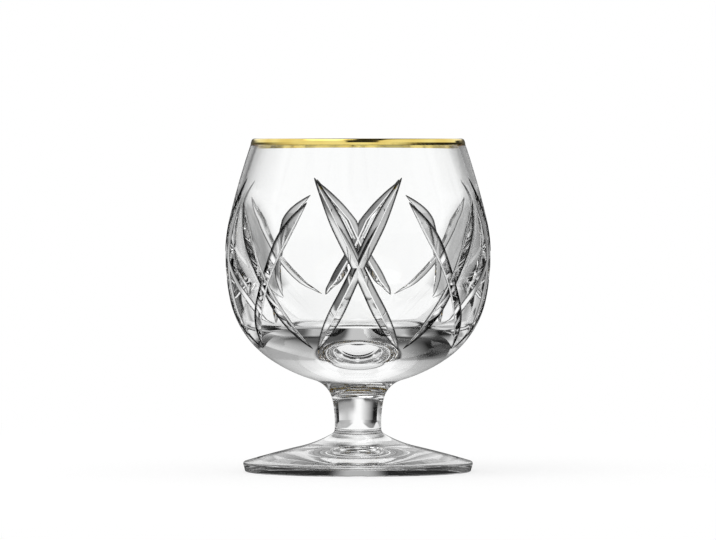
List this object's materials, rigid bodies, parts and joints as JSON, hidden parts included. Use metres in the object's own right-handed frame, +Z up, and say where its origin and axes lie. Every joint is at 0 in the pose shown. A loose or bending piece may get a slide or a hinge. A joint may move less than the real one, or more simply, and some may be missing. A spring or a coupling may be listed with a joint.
{
  "type": "brandy snifter",
  "caption": "Cut crystal brandy snifter: a wide bowl with crossed mitre cuts and a gold lip, on a short stem and a broad round foot.",
  "frame": {"origin": "centre of the foot, on the surface the glass stands on", "axes": "+Z up along the axis of revolution; the middle of a tall cross faces -Y and another faces +X"},
  "size_m": [0.0924, 0.0924, 0.116],
  "materials": {
    "crystal": "clear polished crystal, fire-polished outside, cuts ground and polished bright",
    "gold": "bright fired gold, slightly soft at its lower edge"
  },
  "bodies": {
    "root": {"bowl": "crystal", "stem": "crystal", "foot": "crystal", "gold_rim": "gold"}
  },
  "joints": []
}
